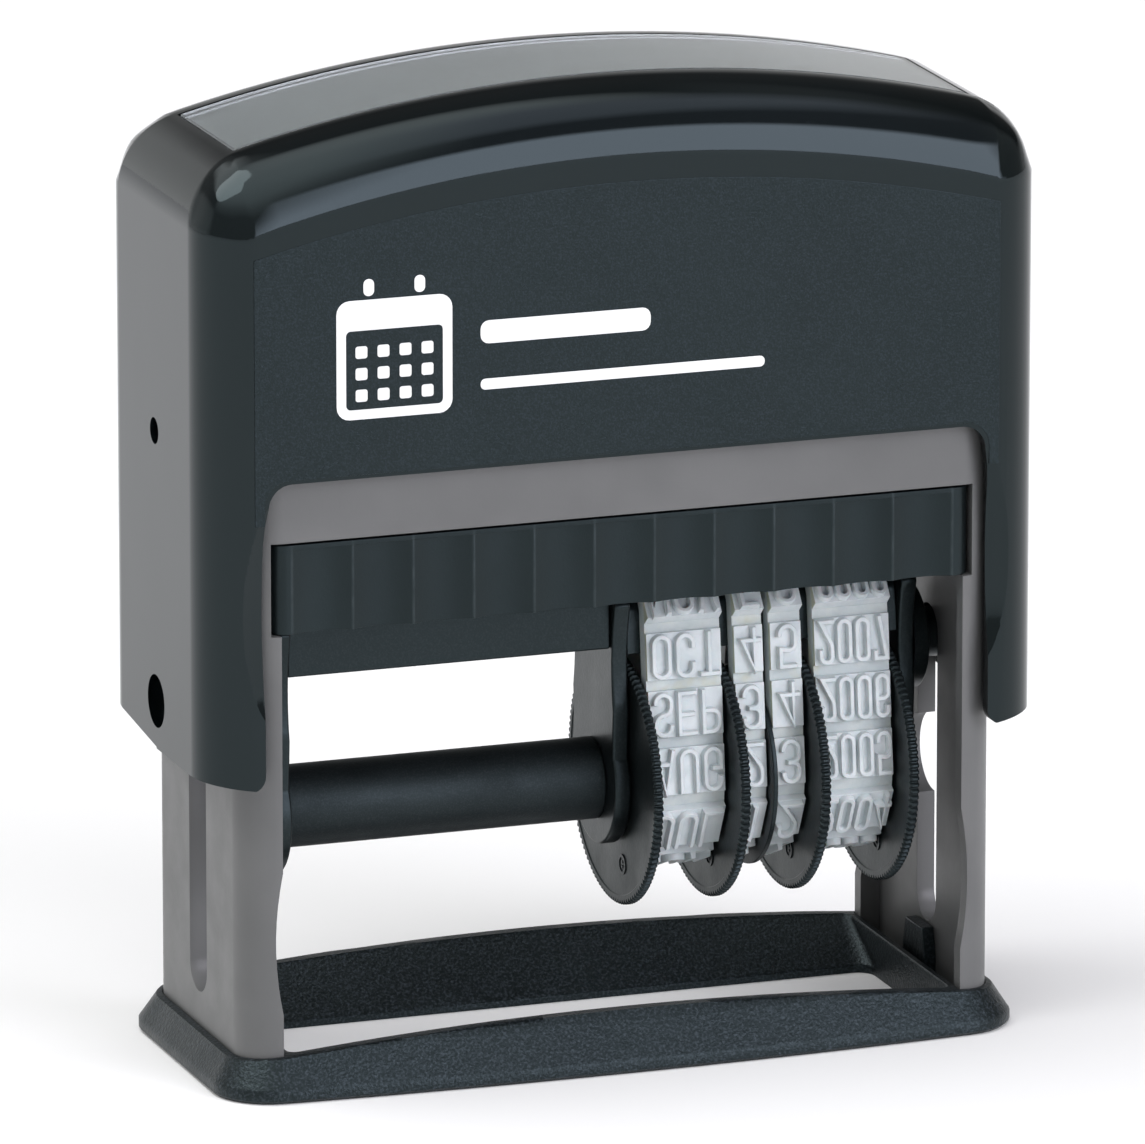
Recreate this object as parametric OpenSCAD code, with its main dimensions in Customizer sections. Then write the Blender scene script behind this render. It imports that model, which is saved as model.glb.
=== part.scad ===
// Self-inking text and date stamp with four thumb-wheel type bands.
// Millimetres. +Z up, -Y is the front. The origin is the centre of the footprint, at desk level.

/* [Case] */
// Width of the outer case
case_w = 72; // [71:0.5:74]
// Depth of the outer case
case_d = 27; // [26.8:0.1:28]
// Height of the crown of the case above the desk
case_top_z = 81.8; // [81:0.1:84]
// Lowest point of the case at rest
case_bottom_z = 26.15; // [26.1:0.05:26.5]
// Corner radius of the case in plan
case_corner_r = 4.5; // [4:0.1:5]
// Radius of the rounding between the crown and the walls
crown_edge_r = 6; // [5:0.1:6.5]
// Radius of the curve of the crown, seen from the front
crown_r = 124; // [110:1:140]
// Height of the top edge of the front and back cut-outs
cutout_top_z = 51.5; // [51:0.1:52]
// Width of the front and back cut-outs
cutout_w = 62.2; // [61:0.1:62.4]
// Thickness of the front and back walls
case_wall = 1.1; // [0.9:0.05:1.2]

/* [Stroke] */
// Height of the swing pivot above the desk at rest
pivot_z = 30.8; // [30.6:0.1:31]
// Travel of the case when the stamp is pressed
stroke = 22.5; // [22.3:0.1:22.5]
// Height of the print face above the pivot
face_h = 8.2; // [8.1:0.05:8.2]
// Diameter of the pivot pins
pin_d = 4.2; // [4:0.1:4.2]

/* [Frame and foot] */
// Width across the frame legs
frame_w = 65.1; // [64.5:0.1:65.2]
// Depth of the frame legs
frame_d = 24.6; // [24:0.1:24.6]
// Width of the foot ring at the desk
foot_w = 69; // [68.6:0.1:71]
// Depth of the foot ring at its ends
foot_d = 27.8; // [27.6:0.1:29]
// How far the long sides of the foot ring bulge out at the middle
foot_bulge = 1.4; // [0.5:0.1:2]
// Height of the foot ring at the middle of its long sides
foot_h = 4.8; // [4.4:0.1:5]

/* [Date unit] */
// Distance of the wheel axle from the pivot
axle_drop = 9.85; // [9.8:0.05:9.9]
// Diameter of the thumb wheels
wheel_d = 21.4; // [20:0.1:21.6]
// Thickness of a thumb wheel flange
flange_t = 0.8; // [0.6:0.1:0.8]
// Diameter of the wheel drums inside the bands
drum_d = 11; // [10:0.1:11]
// Diameter of the steel axle
axle_d = 3; // [2.5:0.1:3]
// Number of type blocks on a band
blocks = 13; // [12:1:14]

/* [Hidden] */
$fn = 64;
wide_arc_fn = 720;

black = "#26292b";
soft_black = "#303436";
taupe = "#7a7573";
band_white = "#d3d8d9";
steel = "#b9bcc0";

eps = 0.01;
pin_fit = 0.1;
axle_fit = 0.05;

// Crown: one arc in the front view, centred on crown_z
crown_z = case_top_z - crown_r;
window_w = 63;
window_d = 14.1;
window_t = 1.3;
card_t = 0.26;
roof_drop = 3.4;
cavity_w = frame_w + 0.6;
cavity_d = case_d - 2 * case_wall;

// Levels of the frame
leg_bottom_z = 1;
channel_top_z = 37.4;
ledge_z = 38.6;
cartridge_bottom_z = 38.7;
cartridge_top_z = 46.1;
deck_z = 46.3;
deck_t = 1.7;
leg_inner_x = 29.3;
channel_x = 31;
bay_x = 30.15;

// Swing unit, along X
left_plate_x = -27.6;
middle_plate_x = 1.6;
right_plate_x = 26.6;
plate_t = 1.4;
pin_end_x = 34.6;
boss_end_x = 29.45;
axle_z = pivot_z - axle_drop;
face_z = pivot_z + face_h;

// Type bands: [left, right] along X
month_span = [4.15, 10.65];
tens_span = [11.75, 14.3];
units_span = [14.9, 17.65];
year_span = [18.75, 25.35];

// A band runs round a drum at the bottom and round two small corners at the bridge
band_web = 0.9;
band_block = 0.7;
glyph_h = 0.4;
band_fit = 0.1;
turn_r = drum_d / 2 + band_fit;
nose_r = 1.6;
nose_y = 2.5;
nose_z = face_z - glyph_h - band_block - band_web - nose_r;
centre_gap = norm([nose_y, nose_z - axle_z]);
side_angle = atan2(nose_y, nose_z - axle_z) + acos((turn_r - nose_r) / centre_gap);
side_len = sqrt(pow(centre_gap, 2) - pow(turn_r - nose_r, 2));
nose_arc = (nose_r + band_web) * side_angle * PI / 180;
drum_arc = (turn_r + band_web) * (180 - side_angle) * PI / 180;
half_loop = nose_y + nose_arc + side_len + drum_arc;
block_pitch = 2 * half_loop / blocks;
groove_w = 0.8;

// Return spring
spring_turns = 7;
spring_wire_r = 0.4;
spring_r = 4.2;
spring_low_z = deck_z + deck_t + spring_wire_r + 0.05;
spring_high_z = case_top_z - roof_drop - spring_wire_r - 0.1;
ring_steps = 20;
ring_sides = 8;

// ---- helpers ----

// Extrude a profile drawn as (Y, Z) from x0 to x1
module along_x(x0, x1) {
    translate([x0, 0, 0])
        rotate([90, 0, 90])
            linear_extrude(x1 - x0)
                children();
}

// Extrude a profile drawn as (X, Z) from y0 to y1
module along_y(y0, y1) {
    translate([0, y1, 0])
        rotate([90, 0, 0])
            linear_extrude(y1 - y0)
                children();
}

// Rod along X
module rod_x(x0, x1, y, z, r) {
    along_x(x0, x1)
        translate([y, z])
            circle(r);
}

module rounded_plan(w, d, r) {
    square([w - 2 * r, d], center = true);
    square([w, d - 2 * r], center = true);
    for (sx = [-1, 1], sy = [-1, 1])
        translate([sx * (w / 2 - r), sy * (d / 2 - r)])
            circle(r);
}

// Rounded rectangle whose long sides bow out by bulge at the middle
module bowed_plan(w, d, bulge, r) {
    bow_r = pow(w / 2, 2) / (2 * bulge) + bulge / 2;
    intersection() {
        rounded_plan(w, d + 2 * bulge, r, $fn = 32);
        translate([0, d / 2 + bulge - bow_r])
            circle(bow_r, $fn = wide_arc_fn);
        translate([0, bow_r - d / 2 - bulge])
            circle(bow_r, $fn = wide_arc_fn);
    }
}

// Layer between two concentric crown arcs, cut to a width and a depth
module crown_layer(drop_top, drop_bottom, w, d) {
    along_y(-d / 2, d / 2)
        intersection() {
            translate([-w / 2, crown_z + crown_r * 0.8])
                square([w, crown_r]);
            difference() {
                translate([0, crown_z])
                    circle(crown_r - drop_top, $fn = wide_arc_fn);
                translate([0, crown_z])
                    circle(crown_r - drop_bottom, $fn = wide_arc_fn);
            }
        }
}

// ---- foot and frame ----

module leg_plan(grow) {
    difference() {
        rounded_plan(frame_w + 2 * grow, frame_d + 2 * grow, 3.4 + grow);
        square([2 * (leg_inner_x - grow), frame_d + 10], center = true);
    }
}

module foot_body() {
    rim_h = 1.1;
    slope_top = 5;
    hull() {
        linear_extrude(rim_h)
            bowed_plan(foot_w, foot_d, foot_bulge, 4.5);
        translate([0, 0, slope_top])
            linear_extrude(eps)
                bowed_plan(foot_w - 5, foot_d - 4.2, 0.5, 3.6);
    }
}

module foot_funnel() {
    lip_h = 0.6;
    hull() {
        translate([0, 0, lip_h])
            linear_extrude(eps)
                rounded_plan(56.8, 13, 1.5, $fn = 24);
        translate([0, 0, 5.4])
            linear_extrude(eps)
                rounded_plan(57.2, 24.6, 3, $fn = 24);
    }
}

module base_foot() {
    arch_r = 340;
    tab_x = channel_x - 1.15;
    tab_t = 1.1;
    tab_w = 5;
    tab_top_z = 5.9;
    color(black) {
        difference() {
            intersection() {
                foot_body();
                along_y(-foot_d, foot_d)
                    translate([0, foot_h - arch_r])
                        circle(arch_r, $fn = wide_arc_fn);
            }
            foot_funnel();
            translate([0, 0, -1])
                linear_extrude(2)
                    rounded_plan(56.8, 13, 1.5);
            translate([0, 0, leg_bottom_z])
                linear_extrude(10)
                    leg_plan(0.1);
        }
        for (side = [-1, 1])
            translate([side * (tab_x + tab_t / 2), 0, leg_bottom_z - eps])
                linear_extrude(tab_top_z - leg_bottom_z)
                    square([tab_t, tab_w], center = true);
    }
}

module pivot_slot(side) {
    slot_r = pin_d / 2 + pin_fit;
    x0 = side > 0 ? channel_x - 1 : -frame_w / 2 - 1;
    along_x(x0, x0 + frame_w / 2 - channel_x + 2) {
        for (z = [pivot_z - stroke - 0.1, pivot_z + 0.2])
            translate([0, z])
                circle(slot_r);
        translate([-slot_r, pivot_z - stroke - 0.1])
            square([2 * slot_r, stroke + 0.3]);
    }
}

module lower_frame() {
    window_r = 3.4;
    panel_t = 1.2;
    waist_depth = 0.6;
    waist_z = 12.9;
    color(taupe)
        intersection() {
            union() {
                difference() {
                    translate([0, 0, leg_bottom_z])
                        linear_extrude(case_top_z - leg_bottom_z)
                            rounded_plan(frame_w, frame_d, 3.4);
                    // space between the legs, below the ink bay
                    translate([0, 0, leg_bottom_z - 1])
                        linear_extrude(ledge_z - leg_bottom_z + 1)
                            square([2 * leg_inner_x, frame_d + 2], center = true);
                    // inner channels of the legs
                    translate([0, 0, leg_bottom_z - 1])
                        linear_extrude(channel_top_z - leg_bottom_z + 1)
                            square([2 * channel_x, frame_d - 2.8], center = true);
                    // waisted inner edges of the legs, both cut by one wide round
                    along_y(-frame_d, frame_d)
                        translate([0, waist_z])
                            circle(leg_inner_x + waist_depth, $fn = wide_arc_fn);
                    // ink bay, open at the front, the back and the bottom
                    translate([-bay_x, -frame_d, ledge_z])
                        cube([2 * bay_x, 2 * frame_d, deck_z - ledge_z]);
                    // hollow above the deck
                    translate([0, 0, deck_z + deck_t])
                        linear_extrude(case_top_z)
                            rounded_plan(2 * bay_x, frame_d - 2 * panel_t, 1.5);
                    for (side = [-1, 1])
                        pivot_slot(side);
                    rod_x(channel_x - 1, frame_w / 2 + 1, 2.3, 19.8, window_r);
                }
                // spring post
                translate([0, 0, deck_z + deck_t - eps])
                    cylinder(r = 3, h = 7);
            }
            // the top follows the case roof when the case is down
            along_y(-frame_d, frame_d)
                translate([0, crown_z - stroke])
                    circle(crown_r - roof_drop - 0.5, $fn = wide_arc_fn);
        }
}

// ---- ink cartridge ----

module ink_cartridge() {
    half_w = bay_x - 0.15;
    front_y = -12.2;
    back_y = 12;
    flutes = 11;
    flute_pitch = 5.16;
    flute_depth = 0.5;
    flute_r = (pow(flute_pitch / 2, 2) + pow(flute_depth, 2)) / (2 * flute_depth);
    color(soft_black)
        difference() {
            translate([0, (front_y + back_y) / 2, cartridge_bottom_z])
                linear_extrude(cartridge_top_z - cartridge_bottom_z)
                    rounded_plan(2 * half_w, back_y - front_y, 1.3);
            // well for the pad, open underneath
            translate([-27.4, -8.7, cartridge_bottom_z - 1])
                cube([55.8, 17.4, 6.1]);
            // the back wall stops above the print face, so that the cartridge can be drawn out
            translate([-28.6, 8.6, cartridge_bottom_z - 1])
                cube([57.2, 6, 1.6]);
            for (i = [0 : flutes - 1])
                translate([
                    (i - (flutes - 1) / 2) * flute_pitch,
                    front_y - flute_r + flute_depth,
                    cartridge_bottom_z - 1
                ])
                    cylinder(r = flute_r, h = 8);
        }
}

module ink_pad() {
    color("#1d2740")
        translate([0.5, 0, face_z + 0.2])
            linear_extrude(4.55)
                rounded_plan(55.6, 17.2, 1);
}

// ---- case ----

// Front view of the case up to the crown arc, with rounded shoulders
module case_front() {
    shoulder_r = crown_edge_r;
    centre_x = case_w / 2 - shoulder_r;
    centre_z = crown_z + sqrt(pow(crown_r - shoulder_r, 2) - pow(centre_x, 2));
    touch_x = centre_x * crown_r / (crown_r - shoulder_r);
    touch_z = crown_z + (centre_z - crown_z) * crown_r / (crown_r - shoulder_r);
    translate([-case_w / 2, case_bottom_z])
        square([case_w, centre_z - case_bottom_z]);
    for (side = [-1, 1])
        translate([side * centre_x, centre_z])
            circle(shoulder_r);
    polygon([
        [-centre_x, centre_z], [-touch_x, touch_z], [-touch_x, case_top_z + 2],
        [touch_x, case_top_z + 2], [touch_x, touch_z], [centre_x, centre_z]
    ]);
}

// Drum whose rounded rim makes the crown and its long rounded edges
module crown_drum() {
    rim = crown_edge_r;
    translate([0, 0, crown_z])
        rotate([90, 0, 0])
            rotate_extrude($fn = 360) {
                translate([0, -case_d / 2 + rim])
                    square([crown_r, case_d - 2 * rim]);
                translate([0, -case_d / 2])
                    square([crown_r - rim, case_d]);
                for (side = [-1, 1])
                    translate([crown_r - rim, side * (case_d / 2 - rim)])
                        circle(rim);
            }
}

module case_cutout() {
    corner_r = 2;
    translate([-cutout_w / 2, case_bottom_z - 1])
        square([cutout_w, cutout_top_z - corner_r - case_bottom_z + 1]);
    translate([-cutout_w / 2 + corner_r, case_bottom_z])
        square([cutout_w - 2 * corner_r, cutout_top_z - case_bottom_z]);
    for (side = [-1, 1])
        translate([side * (cutout_w / 2 - corner_r), cutout_top_z - corner_r])
            circle(corner_r);
}

// What the slanted lower edges of the case leave out, for one side
module case_bottom_cut(side) {
    outer_rise = 0.8;
    back_rise = 1.5;
    inner_x = cutout_w / 2;
    outer_x = case_w / 2 + 1;
    along_y(-case_d, case_d)
        polygon([
            [side * inner_x, case_bottom_z], [side * outer_x, case_bottom_z + outer_rise],
            [side * outer_x, case_bottom_z - 2], [side * inner_x, case_bottom_z - 2]
        ]);
    along_x(-case_w, case_w)
        polygon([
            [0, case_bottom_z + outer_rise], [case_d / 2, case_bottom_z + outer_rise + back_rise],
            [case_d / 2 + 1, case_bottom_z - 2], [0, case_bottom_z - 2]
        ]);
}

module case_shell() {
    hole_r = 2.2;
    dimple_r = 1.1;
    dimple_z = 53.4;
    color(black) {
        difference() {
            intersection() {
                translate([0, 0, case_bottom_z])
                    linear_extrude(case_top_z)
                        rounded_plan(case_w, case_d, case_corner_r);
                along_y(-case_d, case_d)
                    case_front();
                crown_drum();
            }
            intersection() {
                translate([0, 0, case_bottom_z - 1])
                    linear_extrude(case_top_z)
                        rounded_plan(cavity_w, cavity_d, 3);
                along_y(-case_d, case_d)
                    translate([0, crown_z])
                        circle(crown_r - roof_drop, $fn = wide_arc_fn);
            }
            along_y(-case_d, case_d)
                case_cutout();
            crown_layer(-2, window_t + 0.3, window_w, window_d);
            rod_x(-case_w, case_w, 0, pivot_z, hole_r);
            for (side = [-1, 1]) {
                translate([side * case_w / 2, 0, 0])
                    rod_x(-1.5, 1.5, 0, dimple_z, dimple_r);
                case_bottom_cut(side);
            }
        }
        // ring that centres the spring under the roof
        translate([0, 0, case_top_z - roof_drop - 3.2])
            difference() {
                cylinder(r = 6.2, h = 3.6);
                translate([0, 0, -1])
                    cylinder(r = 5.1, h = 4.2);
            }
    }
}

module top_window() {
    color("#8f9699", 0.5)
        crown_layer(0, window_t, window_w - 0.2, window_d - 0.2);
}

module index_card() {
    color("#e8e6df")
        crown_layer(window_t + 0.02, window_t + 0.02 + card_t, window_w - 1, window_d - 1);
}

// Helix point at a fraction t of the spring's length
function coil_point(t, r) = [
    r * cos(360 * spring_turns * t),
    r * sin(360 * spring_turns * t),
    spring_low_z + (spring_high_z - spring_low_z) * t
];

// Circle of the wire round that point
function wire_ring(t) = [
    for (k = [0 : ring_sides - 1])
        coil_point(t, spring_r + spring_wire_r * cos(360 * k / ring_sides))
            + [0, 0, spring_wire_r * sin(360 * k / ring_sides)]
];

module return_spring() {
    rings = spring_turns * ring_steps;
    points = [for (i = [0 : rings]) each wire_ring(i / rings)];
    sides = [
        for (i = [0 : rings - 1], k = [0 : ring_sides - 1])
            let (a = i * ring_sides, b = a + ring_sides, m = (k + 1) % ring_sides)
                each [[a + k, b + k, b + m], [a + k, b + m, a + m]]
    ];
    first = [for (k = [0 : ring_sides - 1]) k];
    last = [for (k = [ring_sides - 1 : -1 : 0]) rings * ring_sides + k];
    color(steel)
        polyhedron(points, concat(sides, [first, last]));
}

// ---- swing unit ----

// Side view of a cheek above its axle lobe, drawn as (Y, Z)
module cheek_profile() {
    waist_r = 18;
    waist_half_w = 4.6;
    shoulder_half_w = 5.5;
    top_half_w = 4.3;
    shoulder_z = face_z - 2.6;
    top_z = face_z - 0.5;
    difference() {
        polygon([
            [-waist_half_w, axle_z], [-shoulder_half_w, shoulder_z], [-top_half_w, top_z],
            [top_half_w, top_z], [shoulder_half_w, shoulder_z], [waist_half_w, axle_z]
        ]);
        for (side = [-1, 1])
            translate([side * (waist_half_w + waist_r), pivot_z + 0.7])
                circle(waist_r);
    }
}

module cheek(x0) {
    lobe_r = 5.5;
    difference() {
        union() {
            along_x(x0, x0 + plate_t)
                cheek_profile();
            rod_x(x0, x0 + plate_t, 0, axle_z, lobe_r);
        }
        rod_x(x0 - 1, x0 + plate_t + 1, 0, axle_z, axle_d / 2 + 0.02);
    }
}

module left_cheek() {
    color(soft_black) {
        cheek(left_plate_x);
        rod_x(-boss_end_x, left_plate_x + eps, 0, pivot_z, 4.6);
        rod_x(-pin_end_x, left_plate_x, 0, pivot_z, pin_d / 2);
    }
}

module middle_cheek() {
    color(soft_black)
        cheek(middle_plate_x);
}

module right_cheek() {
    outer_x = right_plate_x + plate_t;
    color(soft_black) {
        cheek(right_plate_x);
        rod_x(outer_x - eps, boss_end_x, 0, pivot_z, 4.6);
        rod_x(outer_x, pin_end_x, 0, pivot_z, pin_d / 2);
    }
}

die_bottom_z = face_z - 2;

module text_platen() {
    half_d = 4.3;
    wall = 1.2;
    color(soft_black)
        along_x(left_plate_x + plate_t, middle_plate_x)
            difference() {
                translate([-half_d, pivot_z + 2.1])
                    square([2 * half_d, die_bottom_z - pivot_z - 2.1]);
                translate([-half_d + wall, pivot_z + 2])
                    square([2 * (half_d - wall), die_bottom_z - pivot_z - 2 - 1.4]);
            }
}

// Rubber plate with plain raised bars in place of wording
module text_die() {
    die_x = left_plate_x + plate_t + 0.5;
    die_w = middle_plate_x - 0.5 - die_x;
    bar_rows = [[-3, 0.9], [-1, 0.6], [1, 0.75], [3, 0.5]];
    color("#8d3b35") {
        translate([die_x, -4.5, die_bottom_z])
            cube([die_w, 9, 1.3]);
        for (row = bar_rows)
            translate([die_x + (1 - row[1]) * die_w / 2, row[0] - 0.6, die_bottom_z + 1.3 - eps])
                cube([die_w * row[1], 1.2, 0.7]);
    }
}

module spacer_tube() {
    color(soft_black)
        along_x(left_plate_x + plate_t, middle_plate_x)
            translate([0, axle_z])
                difference() {
                    circle(3.4);
                    circle(axle_d / 2 + axle_fit);
                }
}

module wheel_axle() {
    color(steel)
        rod_x(left_plate_x, right_plate_x + plate_t, 0, axle_z, axle_d / 2);
}

// Arc of n steps from angle a0 to a1, measured from straight up
function arc_points(y, z, r, a0, a1, n) = [
    for (i = [0 : n])
        let (a = a0 + (a1 - a0) * i / n)
            [y + r * sin(a), z + r * cos(a)]
];

// Solid outline of a band loop, grown outwards by off
module loop_outline(off) {
    nose_steps = 16;
    drum_steps = 40;
    polygon(concat(
        arc_points(nose_y, nose_z, nose_r + off, 0, side_angle, nose_steps),
        arc_points(0, axle_z, turn_r + off, side_angle, 360 - side_angle, drum_steps),
        arc_points(-nose_y, nose_z, nose_r + off, 360 - side_angle, 360, nose_steps)
    ));
}

// Point and outward direction on the loop, s along it from the middle of the print face
function loop_place(s) =
    s < nose_y ? [s, nose_z + nose_r, 0]
    : s < nose_y + nose_arc ?
        let (a = (s - nose_y) / (nose_r + band_web) * 180 / PI)
            [nose_y + nose_r * sin(a), nose_z + nose_r * cos(a), a]
    : s < nose_y + nose_arc + side_len ?
        let (t = (s - nose_y - nose_arc) / side_len, a = side_angle)
            [
                (1 - t) * (nose_y + nose_r * sin(a)) + t * turn_r * sin(a),
                (1 - t) * (nose_z + nose_r * cos(a)) + t * (axle_z + turn_r * cos(a)),
                a
            ]
    : let (a = side_angle + (s - nose_y - nose_arc - side_len) / (turn_r + band_web) * 180 / PI)
        [turn_r * sin(a), axle_z + turn_r * cos(a), a];

module type_band(span) {
    thickness = band_web + band_block;
    color(band_white)
        along_x(span[0], span[1])
            difference() {
                loop_outline(thickness);
                loop_outline(0);
                for (i = [0 : blocks - 1]) {
                    s = (i + 0.5) * block_pitch;
                    flip = s > half_loop ? -1 : 1;
                    place = loop_place(flip > 0 ? s : 2 * half_loop - s);
                    translate([flip * place[0], place[1]])
                        rotate(-flip * place[2])
                            translate([-groove_w / 2, band_web])
                                square([groove_w, 1]);
                }
            }
}

module month_band() {
    type_band(month_span);
}

module day_tens_band() {
    type_band(tens_span);
}

module day_units_band() {
    type_band(units_span);
}

module year_band() {
    type_band(year_span);
}

// Bar that backs the bands at the print face
module band_bridge() {
    bridge_bottom_z = axle_z + wheel_d / 2 + 0.65;
    color(soft_black)
        along_x(middle_plate_x + plate_t, right_plate_x)
            intersection() {
                loop_outline(-0.05);
                translate([-8, bridge_bottom_z])
                    square([16, 10]);
            }
}

module band_divider() {
    mid_x = (tens_span[1] + units_span[0]) / 2;
    color(black)
        along_x(mid_x - 0.2, mid_x + 0.2)
            difference() {
                union() {
                    translate([0, axle_z])
                        circle(8.3);
                    translate([-2.5, axle_z])
                        square([5, wheel_d / 2 + 0.65]);
                }
                translate([0, axle_z])
                    circle(axle_d / 2 + 0.02);
            }
}

// ---- thumb wheels ----

// flange_x is the left face of the flange, drum_x the span of the drum
module thumb_wheel(flange_x, drum_x) {
    color(soft_black)
        difference() {
            union() {
                rod_x(flange_x, flange_x + flange_t, 0, axle_z, wheel_d / 2);
                rod_x(drum_x[0], drum_x[1], 0, axle_z, drum_d / 2);
            }
            rod_x(0, right_plate_x + 5, 0, axle_z, axle_d / 2 + axle_fit);
        }
}

month_flange_x = 3.2;
tens_flange_x = 10.8;
units_flange_x = 17.8;
year_flange_x = 25.5;

module month_wheel() {
    thumb_wheel(month_flange_x, [month_flange_x + flange_t - eps, month_span[1]]);
}

module day_tens_wheel() {
    thumb_wheel(tens_flange_x, [tens_flange_x + flange_t - eps, tens_span[1] - 0.05]);
}

module day_units_wheel() {
    thumb_wheel(units_flange_x, [units_span[0] + 0.05, units_flange_x + eps]);
}

module year_wheel() {
    thumb_wheel(year_flange_x, [year_span[0], year_flange_x + eps]);
}

base_foot();
lower_frame();
ink_cartridge();
ink_pad();
case_shell();
top_window();
index_card();
return_spring();
left_cheek();
middle_cheek();
right_cheek();
text_platen();
text_die();
spacer_tube();
wheel_axle();
band_bridge();
band_divider();
month_band();
day_tens_band();
day_units_band();
year_band();
month_wheel();
day_tens_wheel();
day_units_wheel();
year_wheel();
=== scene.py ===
import math

import bmesh
import bpy
from mathutils import Euler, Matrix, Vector


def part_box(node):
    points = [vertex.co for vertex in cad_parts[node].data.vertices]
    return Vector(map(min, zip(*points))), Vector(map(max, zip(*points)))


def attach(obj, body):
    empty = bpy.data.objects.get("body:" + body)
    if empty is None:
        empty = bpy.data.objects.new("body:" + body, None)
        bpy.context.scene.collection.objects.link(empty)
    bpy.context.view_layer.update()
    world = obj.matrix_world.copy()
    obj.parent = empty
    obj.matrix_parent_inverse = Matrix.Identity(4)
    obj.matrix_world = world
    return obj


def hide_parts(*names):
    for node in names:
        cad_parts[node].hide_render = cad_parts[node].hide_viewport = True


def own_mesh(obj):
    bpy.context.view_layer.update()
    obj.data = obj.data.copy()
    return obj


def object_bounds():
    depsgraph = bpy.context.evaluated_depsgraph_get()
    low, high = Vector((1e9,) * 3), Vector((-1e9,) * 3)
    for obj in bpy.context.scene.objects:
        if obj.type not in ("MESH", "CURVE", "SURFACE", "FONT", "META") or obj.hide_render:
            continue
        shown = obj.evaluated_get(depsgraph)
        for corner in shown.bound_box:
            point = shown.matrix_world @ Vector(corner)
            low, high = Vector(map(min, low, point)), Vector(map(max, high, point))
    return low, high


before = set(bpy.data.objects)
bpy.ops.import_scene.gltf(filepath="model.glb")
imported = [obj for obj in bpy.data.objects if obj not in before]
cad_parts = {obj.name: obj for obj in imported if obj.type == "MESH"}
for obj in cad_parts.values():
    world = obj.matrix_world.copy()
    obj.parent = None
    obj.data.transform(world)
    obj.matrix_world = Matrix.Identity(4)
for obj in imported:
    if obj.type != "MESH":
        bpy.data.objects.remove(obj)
CAD_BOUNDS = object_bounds()
MM = 0.001


# ---- node materials ----

class Nodes:
    """Short names for the few shader nodes that every material here is made of."""

    def __init__(self, name):
        self.material = bpy.data.materials.new(name)
        self.material.use_nodes = True
        self.tree = self.material.node_tree
        self.shader = self.tree.nodes["Principled BSDF"]
        self.coords = self.tree.nodes.new("ShaderNodeTexCoord").outputs["Object"]

    def link(self, source, target):
        self.tree.links.new(source, target)

    def feed(self, socket, value):
        """Links an input to a socket, or sets it to a number or an RGB colour."""
        if isinstance(value, bpy.types.NodeSocket):
            self.link(value, socket)
        elif socket.type == "RGBA":
            socket.default_value = (*value, 1)
        else:
            socket.default_value = value

    def drive(self, name, source):
        """Links an input of the shader."""
        self.link(source, self.shader.inputs[name])

    def noise(self, size_mm, detail=2.0, roughness=0.5):
        """Noise whose features are about size_mm across."""
        node = self.tree.nodes.new("ShaderNodeTexNoise")
        node.inputs["Scale"].default_value = 1 / (size_mm * MM)
        node.inputs["Detail"].default_value = detail
        node.inputs["Roughness"].default_value = roughness
        self.link(self.coords, node.inputs["Vector"])
        return node.outputs["Fac"]

    def range(self, source, low, high, to_low, to_high):
        node = self.tree.nodes.new("ShaderNodeMapRange")
        values = {"From Min": low, "From Max": high, "To Min": to_low, "To Max": to_high}
        for name, value in values.items():
            node.inputs[name].default_value = value
        self.link(source, node.inputs["Value"])
        return node.outputs["Result"]

    def mix(self, factor, a, b):
        """Colour between a and b, each a colour or a socket."""
        node = self.tree.nodes.new("ShaderNodeMix")
        node.data_type = "RGBA"
        self.link(factor, node.inputs["Factor"])
        self.feed(node.inputs[6], a)
        self.feed(node.inputs[7], b)
        return node.outputs[2]

    def clouds(self, size_mm, detail, dark, light):
        """Soft patches of two colours."""
        return self.mix(self.range(self.noise(size_mm, detail), 0.35, 0.65, 0, 1), dark, light)

    def math(self, operation, a, b=0.0):
        """Result of an operation on the socket a and b, a number or a socket."""
        node = self.tree.nodes.new("ShaderNodeMath")
        node.operation = operation
        self.link(a, node.inputs[0])
        self.feed(node.inputs[1], b)
        return node.outputs[0]

    def bump(self, height, depth_mm, below=None):
        node = self.tree.nodes.new("ShaderNodeBump")
        node.inputs["Strength"].default_value = 1
        node.inputs["Distance"].default_value = depth_mm * MM
        self.link(height, node.inputs["Height"])
        if below is not None:
            self.link(below, node.inputs["Normal"])
        return node.outputs["Normal"]

    def set(self, **values):
        """Sets inputs of the shader, with _ for a space in a name."""
        for name, value in values.items():
            self.shader.inputs[name.replace("_", " ")].default_value = value


COOL_TINT = (0.52, 0.68, 0.72, 1)
GLOSS_TINT = (0.6, 0.76, 0.8, 1)
# colour of the painted highlight along the ridges between the flutes
RIDGE_HIGHLIGHT = (0.02, 0.025, 0.027)
DUST = (0.05, 0.055, 0.06)


def moulded(name, dark, light, roughness, grain_mm, grain_depth, speckle=0.0, speck=None):
    """Moulded plastic with a cloudy tone and grain, and with light specks where speckle is above 0."""
    n = Nodes(name)
    grain = n.noise(grain_mm, 2, 0.65)
    colour = n.clouds(9, 3, dark, light)
    if speckle:
        flecks = n.range(n.noise(grain_mm * 0.75, 1), 0.46, 0.74, 0, speckle)
        colour = n.mix(flecks, colour, speck)
        n.set(Specular_Tint=COOL_TINT)
    n.drive("Base Color", colour)
    smears = n.noise(4, 4, 0.6)
    n.drive("Roughness", n.range(smears, 0.3, 0.7, roughness * 0.85, roughness * 1.15))
    n.drive("Normal", n.bump(grain, grain_depth))
    n.set(IOR=1.5)
    return n.material


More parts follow.
